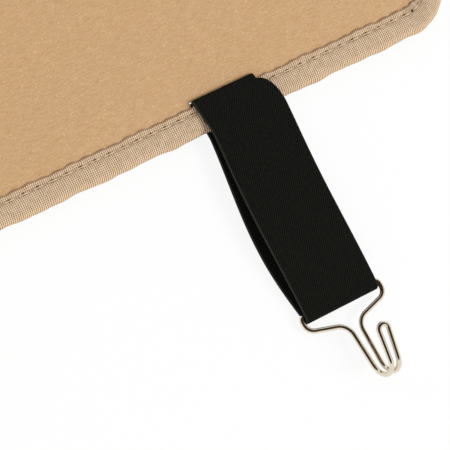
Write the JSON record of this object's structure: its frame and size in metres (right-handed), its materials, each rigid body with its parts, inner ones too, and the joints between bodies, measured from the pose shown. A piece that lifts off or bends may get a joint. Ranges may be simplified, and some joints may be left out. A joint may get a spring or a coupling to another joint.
{
  "type": "back brace",
  "caption": "Wrap-around lumbar back brace with a brushed lining, bound edges, a lift-off pad, steel stays and elastic loops that carry wire hooks, laid open flat.",
  "frame": {"origin": "the spine's centre line at half the brace's height, on the outer face of the back section, which lies on the ground", "axes": "+X runs along the belt from the spine to the end with the hooks, +Y points to the wearer's head, +Z is out of the lining towards the wearer"},
  "size_m": [0.9692, 0.3, 0.0213],
  "materials": {
    "outer_fabric": "plain woven",
    "foam_core": "laminated foam",
    "brushed_lining": "brushed looped pile",
    "binding_tape": "ribbed tape",
    "spring_steel": "ground",
    "tip_plastic": "satin",
    "bone_plastic": "satin",
    "pad_fabric": "brushed looped pile",
    "pad_foam": "open-cell foam",
    "grip_tape": "hook-and-loop",
    "elastic": "matte woven elastic",
    "webbing": "woven webbing",
    "nickel_wire": "nickel plated"
  },
  "bodies": {
    "back": {"shell_back": "outer_fabric", "foam_back": "foam_core", "lining_back": "brushed_lining", "binding_back": "binding_tape", "back_stay_1": "spring_steel", "back_stay_2": "spring_steel", "back_stay_3": "spring_steel", "back_stay_4": "spring_steel", "stay_tips": "tip_plastic"},
    "side_right": {"shell_side_right": "outer_fabric", "foam_side_right": "foam_core", "lining_side_right": "brushed_lining", "binding_side_right": "binding_tape", "side_bone_right": "bone_plastic"},
    "side_left": {"shell_side_left": "outer_fabric", "foam_side_left": "foam_core", "lining_side_left": "brushed_lining", "binding_side_left": "binding_tape", "side_bone_left": "bone_plastic"},
    "front_right": {"shell_front_right": "outer_fabric", "foam_front_right": "foam_core", "lining_front_right": "brushed_lining", "binding_front_right": "binding_tape", "front_bone_right": "bone_plastic", "upper_strap_root": "elastic", "lower_strap_root": "elastic"},
    "front_left": {"shell_front_left": "outer_fabric", "foam_front_left": "foam_core", "lining_front_left": "brushed_lining", "binding_front_left": "binding_tape", "front_bone_left": "bone_plastic", "upper_tab": "webbing", "lower_tab": "webbing"},
    "lumbar_pad": {"pad_cover": "pad_fabric", "pad_foam": "pad_foam", "pad_backing": "outer_fabric", "pad_grip_strips": "grip_tape"},
    "upper_strap": {"upper_strap_band": "elastic"},
    "upper_strap_end": {"upper_strap_fold": "elastic"},
    "upper_hook": {"upper_hook": "nickel_wire"},
    "upper_ring": {"upper_ring": "nickel_wire"},
    "lower_strap": {"lower_strap_band": "elastic"},
    "lower_strap_end": {"lower_strap_fold": "elastic"},
    "lower_hook": {"lower_hook": "nickel_wire"},
    "lower_ring": {"lower_ring": "nickel_wire"}
  },
  "joints": [
    {"name": "side_right_fold", "type": "hinge", "parent": "back", "child": "side_right", "pos_m": [0.13, 0, 0.017], "axis": [0, -1, 0], "range_deg": [0, 75]},
    {"name": "side_left_fold", "type": "hinge", "parent": "back", "child": "side_left", "pos_m": [-0.13, 0, 0.017], "axis": [0, 1, 0], "range_deg": [0, 75]},
    {"name": "front_right_fold", "type": "hinge", "parent": "side_right", "child": "front_right", "pos_m": [0.28, 0, 0.017], "axis": [0, -1, 0], "range_deg": [0, 90]},
    {"name": "front_left_fold", "type": "hinge", "parent": "side_left", "child": "front_left", "pos_m": [-0.28, 0, 0.017], "axis": [0, 1, 0], "range_deg": [0, 90]},
    {"name": "pad_lift", "type": "slide", "parent": "back", "child": "lumbar_pad", "axis": [0, 0, 1], "range_m": [0, 0.06]},
    {"name": "upper_strap_swing", "type": "hinge", "parent": "front_right", "child": "upper_strap", "pos_m": [0.436, 0.072, 0.0025], "axis": [0, -1, 0], "range_deg": [-60, 120], "deforming": ["upper_strap_root"]},
    {"name": "upper_strap_stretch", "type": "slide", "parent": "upper_strap", "child": "upper_strap_end", "axis": [1, 0, 0], "range_m": [0, 0.03], "stiffness_N_per_m": 330, "deforming": ["upper_strap_band"]},
    {"name": "upper_hook_pivot", "type": "hinge", "parent": "upper_strap_end", "child": "upper_hook", "pos_m": [0.49, 0.072, 0.00205], "axis": [0, -1, 0], "range_deg": [-100, 95]},
    {"name": "upper_ring_pivot", "type": "hinge", "parent": "front_left", "child": "upper_ring", "pos_m": [-0.439, 0.072, 0.00225], "axis": [0, 1, 0], "range_deg": [-90, 140]},
    {"name": "lower_strap_swing", "type": "hinge", "parent": "front_right", "child": "lower_strap", "pos_m": [0.436, -0.072, 0.0025], "axis": [0, -1, 0], "range_deg": [-60, 120], "deforming": ["lower_strap_root"]},
    {"name": "lower_strap_stretch", "type": "slide", "parent": "lower_strap", "child": "lower_strap_end", "axis": [1, 0, 0], "range_m": [0, 0.03], "stiffness_N_per_m": 330, "deforming": ["lower_strap_band"]},
    {"name": "lower_hook_pivot", "type": "hinge", "parent": "lower_strap_end", "child": "lower_hook", "pos_m": [0.49, -0.072, 0.00205], "axis": [0, -1, 0], "range_deg": [-100, 95]},
    {"name": "lower_ring_pivot", "type": "hinge", "parent": "front_left", "child": "lower_ring", "pos_m": [-0.439, -0.072, 0.00225], "axis": [0, 1, 0], "range_deg": [-90, 140]}
  ]
}
